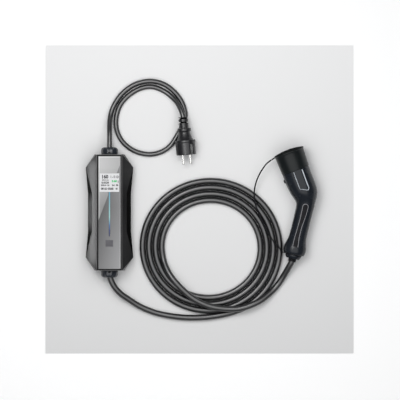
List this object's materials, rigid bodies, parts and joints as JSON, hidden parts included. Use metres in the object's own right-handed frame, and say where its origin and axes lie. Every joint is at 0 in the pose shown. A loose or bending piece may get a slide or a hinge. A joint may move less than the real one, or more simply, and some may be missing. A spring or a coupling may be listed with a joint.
{
  "type": "electric car charger",
  "caption": "Portable electric car charger: a faceted control box between a short mains lead with a plug and a coiled vehicle lead with a capped connector.",
  "frame": {"origin": "middle of the control box's flat back", "axes": "+Z out of the box's front, +Y along the box towards the mains lead, +X towards the coiled vehicle lead"},
  "size_m": [0.4634, 0.4859, 0.0621],
  "materials": {
    "box_plastic": "satin",
    "connector_plastic": "satin",
    "cap_plastic": "satin",
    "gland_plastic": "satin",
    "cable_sheath": "satin",
    "soft_rubber": "matte",
    "panel_grey": "gloss",
    "display_white": "gloss",
    "light_blue": "satin",
    "circuit_board": "satin",
    "relay_blue": "satin",
    "module_black": "matte",
    "terminal_green": "satin",
    "wire_plastic": "satin",
    "screw_steel": "satin",
    "plated_brass": "polished",
    "silvered_copper": "satin"
  },
  "bodies": {
    "charger": {"rear_cover": "box_plastic", "front_cover": "box_plastic", "cover_gasket": "soft_rubber", "cover_screws": "screw_steel", "lens_panel": "panel_grey", "display_module": "display_white", "light_guide": "light_blue", "display_board": "circuit_board", "main_board": "circuit_board", "power_relays": "relay_blue", "leakage_sensor": "module_black", "supply_module": "module_black", "terminal_blocks": "terminal_green", "board_screws": "screw_steel", "mains_gland_body": "gland_plastic", "mains_gland_seal": "soft_rubber", "mains_gland_nut": "gland_plastic", "vehicle_gland_body": "gland_plastic", "vehicle_gland_seal": "soft_rubber", "vehicle_gland_nut": "gland_plastic", "mains_wires": "wire_plastic", "output_wires": "wire_plastic", "mains_cable": "cable_sheath", "plug_body": "connector_plastic", "plug_pins": "plated_brass", "plug_earth_contacts": "plated_brass", "vehicle_cable_lead": "cable_sheath", "vehicle_cable_coil": "cable_sheath", "vehicle_cable_tail": "cable_sheath", "upper_grip_shell": "connector_plastic", "lower_grip_shell": "connector_plastic", "grip_pads": "soft_rubber", "grip_screws": "screw_steel", "contact_nose": "connector_plastic", "power_contacts": "silvered_copper", "pilot_contacts": "silvered_copper", "connector_wires": "wire_plastic", "cable_clamp": "module_black", "end_collar": "connector_plastic", "cable_boot": "soft_rubber", "tether_ring": "soft_rubber", "cap_tether": "soft_rubber"},
    "cap": {"protective_cap": "cap_plastic"}
  },
  "joints": [
    {"name": "cap_pull", "type": "slide", "parent": "charger", "child": "cap", "axis": [-0.3449, 0.9375, 0.0471], "range_m": [0, 0.036]}
  ]
}
